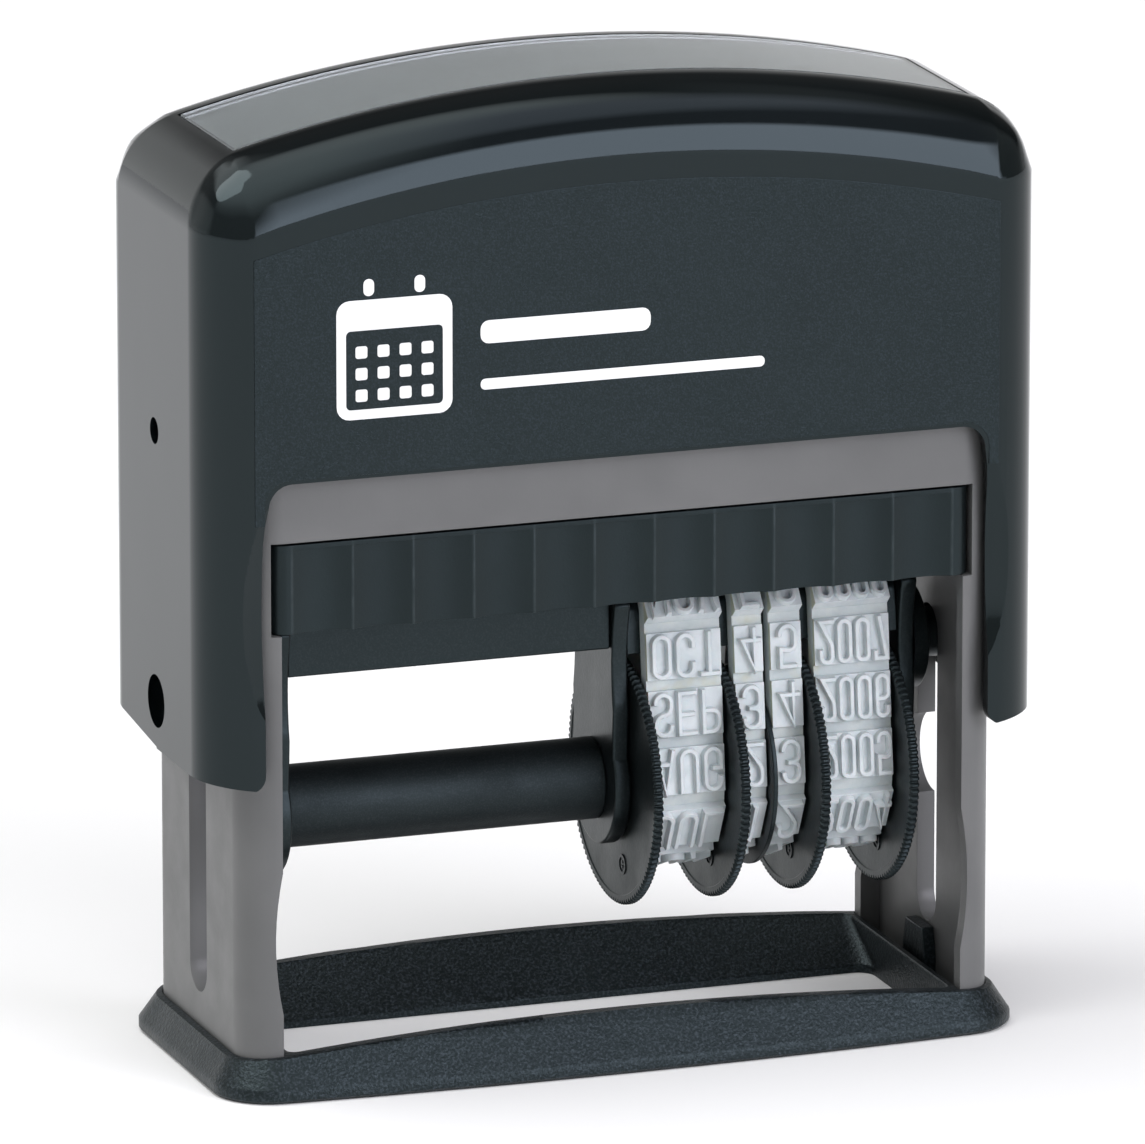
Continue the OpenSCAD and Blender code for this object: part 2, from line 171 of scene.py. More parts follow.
def fluted_grip(name, dark, light, pitch_mm, line_mm):
    """Satin plastic with a painted highlight: a lighter line along each ridge between two flutes."""
    n = Nodes(name)
    split = n.tree.nodes.new("ShaderNodeSeparateXYZ")
    n.link(n.coords, split.inputs["Vector"])
    # the ridges lie half a pitch off the middle, and whole pitches are added to stay above 0
    pitches = n.math("ADD", n.math("MULTIPLY", split.outputs["X"], 1 / (pitch_mm * MM)), 20.5)
    to_ridge = n.math("PINGPONG", n.math("FRACT", pitches), 0.5)
    share = line_mm / pitch_mm
    line = n.range(to_ridge, share * 0.4, share, 0.85, 0)
    patches = n.range(n.noise(1.5, 3), 0.35, 0.65, 0.45, 1)
    # painted highlight: a lighter line along each ridge, broken into patches
    wear_and_highlight = n.math("MULTIPLY", line, patches)
    n.drive("Base Color", n.mix(wear_and_highlight, n.clouds(9, 3, dark, light), RIDGE_HIGHLIGHT))
    n.drive("Roughness", n.range(n.noise(4, 4, 0.6), 0.3, 0.7, 0.3, 0.4))
    n.drive("Normal", n.bump(n.noise(0.2, 2, 0.65), 0.014))
    n.set(IOR=1.5, Specular_Tint=COOL_TINT)
    return n.material


def gloss(name, dark, light):
    """Polished plastic: faint waviness, fine dust and handling marks in the gloss."""
    n = Nodes(name)
    n.drive("Base Color", n.clouds(14, 2, dark, light))
    marks = n.range(n.noise(1.6, 5, 0.7), 0.55, 0.8, 0.06, 0.16)
    n.drive("Roughness", marks)
    wave = n.bump(n.noise(7, 1), 0.012)
    n.drive("Normal", n.bump(n.noise(0.25, 2), 0.0006, wave))
    n.set(IOR=1.5, Specular_Tint=GLOSS_TINT)
    return n.material


def clear_window():
    n = Nodes("clear_plastic")
    n.set(Base_Color=(0.62, 0.67, 0.69, 1), Transmission_Weight=0.94, IOR=1.49)
    n.drive("Roughness", n.range(n.noise(1.2, 5, 0.7), 0.5, 0.8, 0.05, 0.14))
    n.drive("Normal", n.bump(n.noise(6, 1), 0.006))
    return n.material


def rubber(name, base, wear_and_highlight, stain):
    """Type rubber: chalky, with lighter patches of wear and stains of ink and oil."""
    n = Nodes(name)
    colour = n.mix(n.range(n.noise(2.2, 4, 0.6), 0.4, 0.65, 0, 1), base, wear_and_highlight)
    colour = n.mix(n.range(n.noise(3.5, 3, 0.6), 0.58, 0.75, 0, 0.55), colour, stain)
    n.drive("Base Color", colour)
    n.drive("Roughness", n.range(n.noise(0.8, 3), 0.3, 0.7, 0.42, 0.62))
    n.drive("Normal", n.bump(n.noise(0.22, 3, 0.6), 0.018))
    n.set(IOR=1.45, Subsurface_Weight=0.08, Subsurface_Scale=0.0006)
    return n.material


def metal(name, colour, roughness, line_mm):
    """Drawn or turned steel, with fine rings along X."""
    n = Nodes(name)
    n.set(Metallic=1.0)
    n.drive("Base Color", n.mix(n.noise(3, 3), colour, [c * 0.82 for c in colour]))
    stretch = n.tree.nodes.new("ShaderNodeMapping")
    stretch.inputs["Scale"].default_value = (1, 0.06, 0.06)
    n.link(n.coords, stretch.inputs["Vector"])
    n.coords = stretch.outputs["Vector"]
    lines = n.noise(line_mm, 2)
    n.drive("Roughness", n.range(lines, 0.3, 0.7, roughness * 0.7, roughness * 1.4))
    n.drive("Normal", n.bump(lines, 0.003))
    return n.material


def felt(name, dark, light):
    n = Nodes(name)
    fibres = n.noise(0.35, 6, 0.75)
    n.drive("Base Color", n.mix(n.range(fibres, 0.35, 0.7, 0, 1), dark, light))
    n.drive("Normal", n.bump(fibres, 0.12))
    n.set(Roughness=0.9, Sheen_Weight=0.4, Sheen_Roughness=0.5)
    return n.material


MATERIALS = {
    "case_gloss": gloss("case_gloss", (0.0012, 0.002, 0.0022), (0.002, 0.003, 0.0034)),
    "case_grain": moulded(
        "case_grain", (0.001, 0.0018, 0.0018), (0.002, 0.0034, 0.0036), 0.3, 0.2, 0.026,
        0.8, (0.012, 0.016, 0.021)),
    "print_white": moulded("print_white", (0.74, 0.75, 0.75), (0.84, 0.85, 0.85), 0.5, 0.2, 0.004),
    "foot": moulded(
        "foot_grain", (0.0018, 0.0027, 0.003), (0.0034, 0.0048, 0.0053), 0.38, 0.3, 0.07,
        0.7, (0.034, 0.041, 0.05)),
    "frame": moulded("frame_taupe", (0.098, 0.1, 0.1), (0.114, 0.116, 0.116), 0.4, 0.3, 0.006),
    "black": moulded(
        "satin_black", (0.002, 0.003, 0.0033), (0.0038, 0.0054, 0.0058), 0.34, 0.3, 0.012, 0.15, DUST),
    "wheel": moulded(
        "wheel_black", (0.003, 0.0042, 0.0045), (0.0058, 0.0078, 0.0083), 0.38, 0.35, 0.012, 0.15, DUST),
    "grip": moulded(
        "grip_black", (0.0015, 0.0026, 0.003), (0.003, 0.0048, 0.0052), 0.34, 0.2, 0.012,
        0.15, (0.05, 0.06, 0.065)),
    "flutes": fluted_grip(
        "flute_black", (0.0014, 0.0024, 0.0028), (0.0028, 0.0045, 0.0049), pitch_mm=5.16, line_mm=0.16),
    "tube": moulded(
        "tube_black", (0.002, 0.0028, 0.003), (0.0038, 0.005, 0.0054), 0.52, 0.18, 0.02, 0.2, DUST),
    "band": rubber("band_rubber", (0.5, 0.55, 0.565), (0.585, 0.625, 0.64), (0.45, 0.5, 0.515)),
    "band_web": rubber("band_web", (0.44, 0.49, 0.5), (0.52, 0.56, 0.55), (0.5, 0.47, 0.27)),
    "band_side": rubber("band_side", (0.4, 0.43, 0.34), (0.5, 0.52, 0.42), (0.36, 0.37, 0.22)),
    "die": rubber("die_rubber", (0.25, 0.05, 0.04), (0.32, 0.075, 0.055), (0.16, 0.03, 0.04)),
    "card": moulded("card_paper", (0.4, 0.4, 0.39), (0.47, 0.465, 0.45), 0.7, 0.4, 0.01),
    "window": clear_window(),
    "steel": metal("axle_steel", (0.6, 0.61, 0.63), 0.25, 0.2),
    "spring": metal("spring_wire", (0.5, 0.51, 0.53), 0.3, 0.15),
    "pad": felt("pad_felt", (0.012, 0.014, 0.03), (0.03, 0.034, 0.06)),
}


# ---- mesh helpers ----

def new_object(name, mesh, *materials):
    obj = bpy.data.objects.new(name, mesh)
    bpy.context.scene.collection.objects.link(obj)
    for key in materials:
        mesh.materials.append(MATERIALS[key])
    return obj


def from_faces(name, points, faces, *materials):
    mesh = bpy.data.meshes.new(name)
    mesh.from_pydata([tuple(p) for p in points], [], faces)
    mesh.update()
    return new_object(name, mesh, *materials)


def tidy_mesh(mesh, merge=1e-6, flatten=math.radians(0.1)):
    """Merges doubled points, joins the triangles of flat faces, and turns all faces outwards."""
    bm = bmesh.new()
    bm.from_mesh(mesh)
    bmesh.ops.remove_doubles(bm, verts=bm.verts, dist=merge)
    bmesh.ops.dissolve_limit(bm, angle_limit=flatten, verts=bm.verts, edges=bm.edges)
    bmesh.ops.recalc_face_normals(bm, faces=bm.faces)
    bm.to_mesh(mesh)
    bm.free()


def apply_modifiers(obj):
    graph = bpy.context.evaluated_depsgraph_get()
    mesh = bpy.data.meshes.new_from_object(obj.evaluated_get(graph))
    obj.modifiers.clear()
    obj.data = mesh


def bevel(obj, width_mm, segments=3, angle=32, by_weight=False):
    modifier = obj.modifiers.new("bevel", "BEVEL")
    modifier.width = width_mm * MM
    modifier.segments = segments
    modifier.limit_method = "WEIGHT" if by_weight else "ANGLE"
    modifier.angle_limit = math.radians(angle)
    modifier.use_clamp_overlap = not by_weight
    modifier.harden_normals = False
    apply_modifiers(obj)


def boolean(obj, cutter, operation="DIFFERENCE"):
    modifier = obj.modifiers.new("cut", "BOOLEAN")
    modifier.operation = operation
    modifier.solver = "EXACT"
    modifier.object = cutter
    apply_modifiers(obj)
    bpy.data.objects.remove(cutter)


def smooth(obj, angle=35, on_crease=None):
    """Smooth shading, with sharp edges above the angle and where both ends of an edge are on a crease."""
    obj.data.shade_smooth()
    obj.data.set_sharp_from_angle(angle=math.radians(angle))
    if on_crease:
        for edge in obj.data.edges:
            if all(on_crease(obj.data.vertices[v].co) for v in edge.vertices):
                edge.use_edge_sharp = True
    modifier = obj.modifiers.new("normals", "WEIGHTED_NORMAL")
    modifier.keep_sharp = True
    modifier.weight = 80
    apply_modifiers(obj)


def join(parts):
    with bpy.context.temp_override(active_object=parts[0], selected_editable_objects=parts):
        bpy.ops.object.join()
    return parts[0]


def extrusion(name, outline, low, high, axis, *materials):
    """Closed solid: an outline of 2D points carried along axis X, Y or Z from low to high."""
    def place(p, at):
        a, b = p
        return {"X": (at, a, b), "Y": (a, at, b), "Z": (a, b, at)}[axis]
    count = len(outline)
    points = [place(p, at) for at in (low, high) for p in outline]
    faces = [tuple(range(count)), tuple(range(2 * count - 1, count - 1, -1))]
    for i in range(count):
        j = (i + 1) % count
        faces.append((i, i + count, j + count, j))
    obj = from_faces(name, points, faces, *materials)
    tidy_mesh(obj.data)
    return obj


def loft(rings):
    """Points and faces through closed rings of equal length, with the last ring joined to the first."""
    count = len(rings[0])
    faces = []
    for r in range(len(rings)):
        a, b = r * count, (r + 1) % len(rings) * count
        for i in range(count):
            j = (i + 1) % count
            faces.append((a + i, b + i, b + j, a + j))
    return [p for ring in rings for p in ring], faces


def arc(centre, radius, start, end, steps):
    """Points on an arc, angles in degrees from the first axis towards the second."""
    turn = math.radians(end - start) / steps
    first = math.radians(start)
    return [
        (centre[0] + radius * math.cos(first + turn * i), centre[1] + radius * math.sin(first + turn * i))
        for i in range(steps + 1)
    ]


def rounded_rectangle(low, high, radius, steps=8):
    (x0, y0), (x1, y1) = low, high
    return (
        arc((x1 - radius, y1 - radius), radius, 0, 90, steps)
        + arc((x0 + radius, y1 - radius), radius, 90, 180, steps)
        + arc((x0 + radius, y0 + radius), radius, 180, 270, steps)
        + arc((x1 - radius, y0 + radius), radius, 270, 360, steps)
    )


def rod(name, centre, radius, low, high, steps=48, *materials):
    return extrusion(name, arc(centre, radius, 0, 360 - 360 / steps, steps - 1), low, high, "X", *materials)


def finish_piece(obj, body, slot, *nodes):
    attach(obj, body)
    if nodes:
        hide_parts(*nodes)
    return obj


def softened_copy(name, node, material, width_mm, angle):
    """The CAD node's own shape, with the small edge roundings of a moulding."""
    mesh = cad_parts[node].data.copy()
    mesh.materials.clear()
    if "custom_normal" in mesh.attributes:
        mesh.attributes.remove(mesh.attributes["custom_normal"])
    tidy_mesh(mesh, merge=2e-6)
    obj = new_object(name, mesh, material)
    bevel(obj, width_mm, angle=angle)
    smooth(obj)
    return obj


# ---- case cover ----

CASE_LOW, CASE_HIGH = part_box("case_shell")
WINDOW_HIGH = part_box("top_window")[1]
CROWN_R = 124 * MM
CROWN_Z = CASE_HIGH.z - CROWN_R
CROWN_EDGE = 6 * MM
CASE_CORNER = 4.5 * MM
CASE_WALL = 1.1 * MM
ROOF_DROP = 3.4 * MM
CUTOUT_HALF = 31.1 * MM
CUTOUT_TOP_HALF = CUTOUT_HALF - 0.35 * MM
CUTOUT_TOP = 51.5 * MM
PIVOT_Z, PIVOT_HOLE_R = 30.8 * MM, 2.2 * MM
DIMPLE_Z, DIMPLE_R, DIMPLE_DEPTH = 53.4 * MM, 1.1 * MM, 1.5 * MM
GRAIN_APEX = 74.2 * MM
GRAIN_PROUD = 0.05 * MM
SCOOP_X, SCOOP_Z, SCOOP_R = 17.0 * MM, 40.6 * MM, 16.5 * MM


def crown_height(x, radius=CROWN_R):
    return CROWN_Z + math.sqrt(radius * radius - x * x)


def crown_points(half_width, end_length, steps, radius=CROWN_R):
    """(x, z) along the crown from right to left, with a longer first and last step."""
    inner = half_width - end_length
    xs = [half_width] + [inner - 2 * inner * i / steps for i in range(steps + 1)] + [-half_width]
    return [(x, crown_height(x, radius)) for x in xs]


def case_block():
    """Solid block of the case with its three kinds of rounded edge, blended at the corners."""
    half = CASE_HIGH.x
    end_step = 5.2 * MM
    outline = [(-half, CASE_LOW.z), (half, CASE_LOW.z)] + crown_points(half, end_step, 44)
    obj = extrusion("case_cover", outline, CASE_LOW.y, CASE_HIGH.y, "Y", "case_gloss")
    side_z = crown_height(half)
    shoulder_turn = math.pi / 2 - math.asin(half / CROWN_R)
    shoulder_width = CROWN_EDGE * math.tan(shoulder_turn / 2)
    bm = bmesh.new()
    bm.from_mesh(obj.data)
    weights = bm.edges.layers.float.new("bevel_weight_edge")
    near = 0.05 * MM
    for edge in bm.edges:
        a, b = (v.co for v in edge.verts)
        at_side = abs(abs(a.x) - half) < near and abs(abs(b.x) - half) < near
        above = min(a.z, b.z) > side_z - near
        if at_side and above:
            edge[weights] = shoulder_width / CROWN_EDGE
        elif above and abs(a.y - b.y) < near:
            edge[weights] = 1.0
        elif at_side and abs(a.z - b.z) > near:
            edge[weights] = CASE_CORNER / CROWN_EDGE
    bm.to_mesh(obj.data)
    bm.free()
    bevel(obj, CROWN_EDGE / MM, 12, by_weight=True)
    return obj


def cutout_outline():
    """Front view of the opening between the arms, rounded at its top and at the arms' lower ends."""
    top_r, foot_r = 2.0 * MM, 1.3 * MM
    taper_low, taper_high, taper = 46.5 * MM, 48.0 * MM, 0.1 * MM
    low = CASE_LOW.z
    right = [(CUTOUT_HALF + foot_r, low - 2 * MM)]
    right += arc((CUTOUT_HALF + foot_r, low + foot_r), foot_r, 270, 180, 6)
    right += [(CUTOUT_HALF, taper_low), (CUTOUT_HALF - taper, taper_high)]
    right += arc((CUTOUT_TOP_HALF - top_r, CUTOUT_TOP - top_r), top_r, 0, 90, 8)
    return right + [(-x, z) for x, z in reversed(right)]


def scallop_cutter(side):
    """Shallow finger scoop in the front face of an arm, as a height field in front of a large sphere."""
    depth_at_edge = 0.9 * MM
    in_front, thickness = 2 * MM, 4 * MM
    edge = CUTOUT_HALF - SCOOP_X
    centre_y = ((SCOOP_R ** 2 - edge ** 2) - depth_at_edge ** 2) / (2 * depth_at_edge)
    ball = math.hypot(centre_y, SCOOP_R)
    columns, rows = 24, 48
    x0, x1 = side * 30.4 * MM, side * 34.6 * MM
    z0, z1 = 30 * MM, 51.2 * MM
    front = CASE_LOW.y
    points = []
    for row in range(rows + 1):
        for column in range(columns + 1):
            x = x0 + (x1 - x0) * column / columns
            z = z0 + (z1 - z0) * row / rows
            reach = math.sqrt(max(ball ** 2 - (x - side * SCOOP_X) ** 2 - (z - SCOOP_Z) ** 2, 0))
            points.append((x, front + max(reach - centre_y, -in_front), z))
    count = len(points)
    points += [(x, front - thickness, z) for x, y, z in points]
    width = columns + 1
    faces = []
    for row in range(rows):
        for column in range(columns):
            a = row * width + column
            faces.append((a, a + 1, a + width + 1, a + width))
            faces.append(tuple(count + i for i in (a + width, a + width + 1, a + 1, a)))
    rim_loop = list(range(width)) + [r * width + columns for r in range(1, rows + 1)]
    rim_loop += [rows * width + c for c in range(columns - 1, -1, -1)]
    rim_loop += [r * width for r in range(rows - 1, 0, -1)]
    for i, a in enumerate(rim_loop):
        b = rim_loop[(i + 1) % len(rim_loop)]
        faces.append((a, a + count, b + count, b))
    obj = from_faces("scallop", points, faces)
    tidy_mesh(obj.data, flatten=0)
    return obj


def bottom_cutters():
    """The arms' lower edges rise a little towards the outside, and more towards the back."""
    rise, back_rise = 0.8 * MM, 1.5 * MM
    low, outer = CASE_LOW.z, CASE_HIGH.x + 1 * MM
    under = low - 4 * MM
    for side in (-1, 1):
        outline = [
            (side * CUTOUT_HALF, low), (side * outer, low + rise),
            (side * outer, under), (side * CUTOUT_HALF, under),
        ]
        yield extrusion("cut", outline, CASE_LOW.y - MM, CASE_HIGH.y + MM, "Y")
    outline = [
        (0, low + rise), (CASE_HIGH.y, low + rise + back_rise),
        (CASE_HIGH.y + MM, under), (0, under),
    ]
    yield extrusion("cut", outline, -outer, outer, "X")


def cavity():
    """Inside of the case, with its roof parallel to the crown."""
    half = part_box("lower_frame")[1].x + 0.3 * MM
    depth = CASE_HIGH.y - CASE_WALL
    roof = crown_points(half, 1 * MM, 30, CROWN_R - ROOF_DROP)
    outline = [(-half, CASE_LOW.z - MM), (half, CASE_LOW.z - MM)] + roof
    obj = extrusion("cavity", outline, -depth, depth, "Y")
    bevel(obj, 0.8, 3, angle=60)
    return obj


def window_seat():
    """Recess in the crown for the card and the window, a little wider than both."""
    drop, gap, cut_height = 1.6 * MM, 0.16 * MM, 6 * MM
    half = WINDOW_HIGH.x + gap
    depth = WINDOW_HIGH.y + gap
    floor = crown_points(half, 1 * MM, 40, CROWN_R - drop)
    lid = [(x, z + cut_height) for x, z in reversed(floor)]
    return extrusion("seat", floor + lid, -depth, depth, "Y")


def grain_panel():
    """Grained panel, barely proud of the front and back faces: an arch above, the opening's edge below."""
    half, radius, steps = 31.9 * MM, 126 * MM, 40
    centre_z = GRAIN_APEX - radius
    xs = [half - 2 * half * i / steps for i in range(steps + 1)]
    arch = [(x, centre_z + math.sqrt(radius ** 2 - x ** 2)) for x in xs]
    rim, sunk = 0.3 * MM, 0.2 * MM
    shoulder, corner = 48.2 * MM, 2.0 * MM
    edge, top = CUTOUT_TOP_HALF + rim, CUTOUT_TOP + rim
    lower = [(half, shoulder), (edge, shoulder)] + arc((edge - corner, top - corner), corner, 0, 90, 6)
    outline = [(-x, z) for x, z in lower] + lower[::-1] + arch
    for name, face in (("front", CASE_LOW.y), ("back", CASE_HIGH.y)):
        inside = face - math.copysign(sunk, face)
        outside = face + math.copysign(GRAIN_PROUD, face)
        panel = extrusion("panel_" + name, outline, inside, outside, "Y", "case_grain")
        bevel(panel, 0.04, 2)
        yield panel


def case_cover():
    obj = case_block()
    boolean(obj, cavity())
    boolean(obj, extrusion("opening", cutout_outline(), CASE_LOW.y - MM, CASE_HIGH.y + MM, "Y"))
    boolean(obj, window_seat())
    for side in (-1, 1):
        boolean(obj, scallop_cutter(side))
    for cutter in bottom_cutters():
        boolean(obj, cutter)
    outer = CASE_HIGH.x + MM
    boolean(obj, rod("pivot_hole", (0, PIVOT_Z), PIVOT_HOLE_R, -outer, outer))
    for side in (-1, 1):
        ends = sorted((side * (CASE_HIGH.x - DIMPLE_DEPTH), side * outer))
        boolean(obj, rod("dimple", (0, DIMPLE_Z), DIMPLE_R, *ends, 32))
    tidy_mesh(obj.data, merge=3e-6, flatten=math.radians(0.02))
    bevel(obj, 0.22, angle=40)

    def on_scoop_rim(point):
        reach = math.hypot(abs(point.x) - SCOOP_X, point.z - SCOOP_Z)
        return abs(point.y - CASE_LOW.y) < 0.03 * MM and abs(reach - SCOOP_R) < 0.2 * MM

    smooth(obj, 38, on_scoop_rim)
    panels = list(grain_panel())
    for panel in panels:
        smooth(panel)
    obj = join([obj, *panels])
    return finish_piece(obj, "case", "case_plastic", "case_shell")


# ---- type bands ----

AXLE_Z = PIVOT_Z - 9.85 * MM
FACE_Z = PIVOT_Z + 8.2 * MM
BAND_WEB, BAND_BLOCK, GLYPH_H = 0.9 * MM, 0.56 * MM, 0.54 * MM
TURN_R, NOSE_R, NOSE_Y = 5.6 * MM, 1.6 * MM, 2.5 * MM
NOSE_Z = FACE_Z - GLYPH_H - BAND_BLOCK - BAND_WEB - NOSE_R
GAP = math.hypot(NOSE_Y, NOSE_Z - AXLE_Z)
SIDE_ANGLE = math.atan2(NOSE_Y, NOSE_Z - AXLE_Z) + math.acos((TURN_R - NOSE_R) / GAP)
SIDE_LEN = math.sqrt(GAP ** 2 - (TURN_R - NOSE_R) ** 2)
NOSE_ARC = (NOSE_R + BAND_WEB) * SIDE_ANGLE
DRUM_ARC = (TURN_R + BAND_WEB) * (math.pi - SIDE_ANGLE)
HALF_LOOP = NOSE_Y + NOSE_ARC + SIDE_LEN + DRUM_ARC
BLOCKS = 13
BLOCK_PITCH = 2 * HALF_LOOP / BLOCKS
GROOVE, GROOVE_FLOOR = 0.72 * MM, 1.14 * MM
BLOCK_HALF = (BLOCK_PITCH - GROOVE) / 2
BLOCK_TOP = BAND_WEB + BAND_BLOCK


def loop_place(s):
    """(y, z, angle from straight up) at a distance s along the band, from the print face to the back."""
    if s < NOSE_Y:
        return s, NOSE_Z + NOSE_R, 0.0
    s -= NOSE_Y
    if s < NOSE_ARC:
        a = s / (NOSE_R + BAND_WEB)
        return NOSE_Y + NOSE_R * math.sin(a), NOSE_Z + NOSE_R * math.cos(a), a
    s -= NOSE_ARC
    sin_a, cos_a = math.sin(SIDE_ANGLE), math.cos(SIDE_ANGLE)
    if s < SIDE_LEN:
        t = s / SIDE_LEN
        y = (1 - t) * (NOSE_Y + NOSE_R * sin_a) + t * TURN_R * sin_a
        z = (1 - t) * (NOSE_Z + NOSE_R * cos_a) + t * (AXLE_Z + TURN_R * cos_a)
        return y, z, SIDE_ANGLE
    a = SIDE_ANGLE + (s - SIDE_LEN) / (TURN_R + BAND_WEB)
    return TURN_R * math.sin(a), AXLE_Z + TURN_R * math.cos(a), a


def band_frame(s):
    """Inner point, outward direction and direction of travel at s; s counts towards the front."""
    y, z, a = loop_place(abs(s))
    sign = -1 if s > 0 else 1
    out = Vector((0, sign * math.sin(a), math.cos(a)))
    along = Vector((0, -math.cos(a), sign * math.sin(a)))
    return Vector((0, sign * y, z)), out, along


# each character is a few strokes on a cell 1 wide and 2 high: (closed, points);
# a third value in a point rounds that corner
TYPE = {
    "0": [(True, [(0, 0, .5), (1, 0, .5), (1, 2, .5), (0, 2, .5)])],
    "1": [(False, [(.1, 1.55), (.6, 2), (.6, 0)])],
    "2": [(False, [(0, 1.45), (0, 2, .5), (1, 2, .5), (1, 1.15, .3), (0, 0), (1.05, 0)])],
    "3": [(False, [(0, 1.6), (0, 2, .5), (1, 2, .5), (1, 1.05, .4), (.4, 1.05)]),
          (False, [(.6, 1.05), (1, 1.05, .4), (1, 0, .5), (0, 0, .5), (0, .4)])],
    "4": [(False, [(.75, 0), (.75, 2), (0, .55), (1.1, .55)])],
    "5": [(False, [(.95, 2), (.05, 2), (.05, 1.15), (1, 1.25, .45), (1, 0, .5), (0, 0, .5), (0, .4)])],
    "6": [(False, [(1, 1.6), (1, 2, .5), (0, 2, .5), (0, 0, .5), (1, 0, .5), (1, 1.15, .45), (.1, 1.15)])],
    "7": [(False, [(0, 1.7), (0, 2), (1, 2), (.4, 0)])],
    "8": [(True, [(0, 1.05, .4), (1, 1.05, .4), (1, 2, .5), (0, 2, .5)]),
          (True, [(0, 0, .5), (1, 0, .5), (1, 1.05, .4), (0, 1.05, .4)])],
    "9": [(False, [(0, .4), (0, 0, .5), (1, 0, .5), (1, 2, .5), (0, 2, .5), (0, .85, .45), (.9, .85)])],
    "A": [(False, [(0, 0), (.5, 2), (1, 0)]), (False, [(.2, .6), (.8, .6)])],
    "B": [(True, [(0, 0), (1, 0, .5), (1, 1.05, .4), (0, 1.05)]),
          (True, [(0, 1.05), (1, 1.05, .4), (1, 2, .5), (0, 2)])],
    "C": [(False, [(1, 1.45), (1, 2, .5), (0, 2, .5), (0, 0, .5), (1, 0, .5), (1, .55)])],
    "D": [(True, [(0, 0), (1, 0, .5), (1, 2, .5), (0, 2)])],
    "E": [(False, [(1, 2), (0, 2), (0, 0), (1, 0)]), (False, [(0, 1.05), (.85, 1.05)])],
    "F": [(False, [(1, 2), (0, 2), (0, 0)]), (False, [(0, 1.05), (.85, 1.05)])],
    "G": [(False, [(1, 1.45), (1, 2, .5), (0, 2, .5), (0, 0, .5), (1, 0, .5), (1, .95), (.55, .95)])],
    "J": [(False, [(1, 2), (1, 0, .5), (0, 0, .5), (0, .5)])],
    "L": [(False, [(0, 2), (0, 0), (1, 0)])],
    "M": [(False, [(0, 0), (0, 2), (.5, .8), (1, 2), (1, 0)])],
    "N": [(False, [(0, 0), (0, 2), (1, 0), (1, 2)])],
    "O": [(True, [(0, 0, .5), (1, 0, .5), (1, 2, .5), (0, 2, .5)])],
    "P": [(False, [(0, 0), (0, 2), (1, 2, .5), (1, .95, .45), (0, .95)])],
    "R": [(False, [(0, 0), (0, 2), (1, 2, .5), (1, 1, .45), (0, 1)]), (False, [(.45, 1), (1, 0)])],
    "S": [(False, [(1, 1.6), (1, 2, .5), (0, 2, .5), (0, 1.1, .45),
                   (1, .95, .45), (1, 0, .5), (0, 0, .5), (0, .4)])],
    "T": [(False, [(0, 2), (1, 2)]), (False, [(.5, 2), (.5, 0)])],
    "U": [(False, [(0, 2), (0, 0, .5), (1, 0, .5), (1, 2)])],
    "V": [(False, [(0, 2), (.5, 0), (1, 2)])],
    "Y": [(False, [(0, 2), (.5, 1), (1, 2)]), (False, [(.5, 1), (.5, 0)])],
}
MONTHS = ["DEC", "NOV", "OCT", "SEP", "AUG", "JUL", "JUN", "MAY", "APR", "MAR", "FEB", "JAN", ""]


def rounded_path(points, closed, width, height):
    """Stroke points scaled to the cell, with its rounded corners as short arcs."""
    scaled = [Vector((p[0] * width, p[1] * height / 2)) for p in points]
    rounding = [(p[2] if len(p) > 2 else 0) * width for p in points]
    path = []
    for i, corner in enumerate(scaled):
        if not rounding[i]:
            path.append(corner)
            continue
        before = (scaled[i - 1] - corner).normalized()
        after = (scaled[(i + 1) % len(scaled)] - corner).normalized()
        half = before.angle(after) / 2
        radius = rounding[i] * math.tan(half)
        centre = corner + (before + after).normalized() * (radius / math.sin(half))
        start = corner + before * rounding[i] - centre
        end = corner + after * rounding[i] - centre
        for step in range(6):
            t = step / 5
            spoke = start.lerp(end, t).normalized() * radius
            if spoke.length > 0:
                path.append(centre + spoke)
    clean = [path[0]]
    for p in path[1:]:
        if (p - clean[-1]).length > 0.01 * MM:
            clean.append(p)
    if closed and (clean[0] - clean[-1]).length < 0.01 * MM:
        clean.pop()
    return clean


def stroke_solid(path, closed, foot_half, top_half, low, high):
    """Points (u, v, h) and faces of a ridge along the path, with sloping sides and a softened top edge."""
    soft, fall = 0.05 * MM, 0.02 * MM
    count = len(path)
    points, faces = [], []
    for i, p in enumerate(path):
        ahead = path[(i + 1) % count] - p if closed or i < count - 1 else p - path[i - 1]
        behind = p - path[i - 1] if closed or i > 0 else ahead
        a, b = ahead.normalized(), behind.normalized()
        normal = Vector((-a.y - b.y, a.x + b.x))
        normal = normal.normalized() if normal.length > 1e-6 else Vector((-a.y, a.x))
        normal /= max(normal.dot(Vector((-a.y, a.x))), 0.5)
        end = Vector((0, 0))
        if not closed and i in (0, count - 1):
            end = b if i else -a
        top = high - fall * i / count
        for half, h in ((foot_half, low), (top_half, top - soft), (top_half - soft, top)):
            points.append((*(p + normal * half + end * half), h))
            points.append((*(p - normal * half + end * half), h))
    section = ((0, 2), (2, 4), (4, 5), (5, 3), (3, 1), (1, 0))
    spans = count if closed else count - 1
    for i in range(spans):
        a, b = 6 * i, 6 * ((i + 1) % count)
        faces += [(a + m, b + m, b + n, a + n) for m, n in section]
    if not closed:
        last = 6 * (count - 1)
        faces += [(0, 2, 3, 1), (2, 4, 5, 3)]
        faces += [tuple(last + f for f in face) for face in ((1, 3, 2, 0), (3, 5, 4, 2))]
    return points, faces


